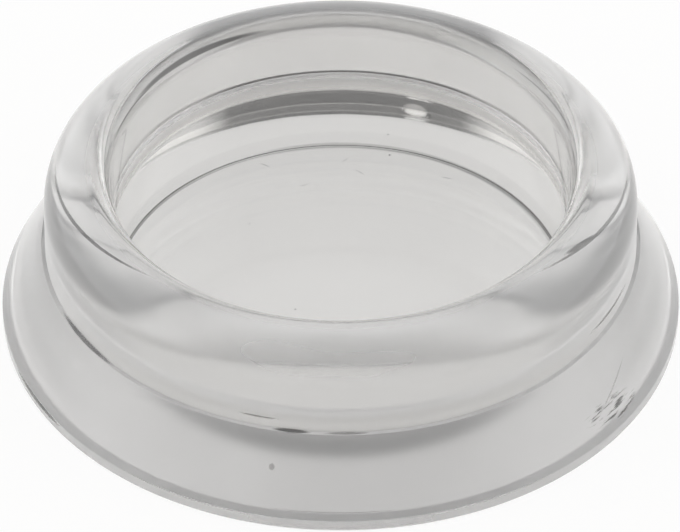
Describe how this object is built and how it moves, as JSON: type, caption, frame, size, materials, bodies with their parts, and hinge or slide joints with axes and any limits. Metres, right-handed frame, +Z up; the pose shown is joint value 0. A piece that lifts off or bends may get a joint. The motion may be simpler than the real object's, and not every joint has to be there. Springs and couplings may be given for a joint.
{
  "type": "caster cup",
  "caption": "Round clear plastic caster cup: a flat-floored well with a thick rounded rim on a sloping hollow skirt. A furniture caster or foot stands in it, to spare the floor.",
  "frame": {"origin": "centre of the underside, on the surface that the cup stands on", "axes": "+Z up along the axis of the well, out of its mouth; X and Y are any two square directions, because the cup is a body of revolution"},
  "size_m": [0.059, 0.059, 0.0156],
  "materials": {
    "clear_plastic": "clear and colourless with a slight grey cast, glossy, lightly scuffed"
  },
  "bodies": {
    "root": {"cup": "clear_plastic"}
  },
  "joints": []
}
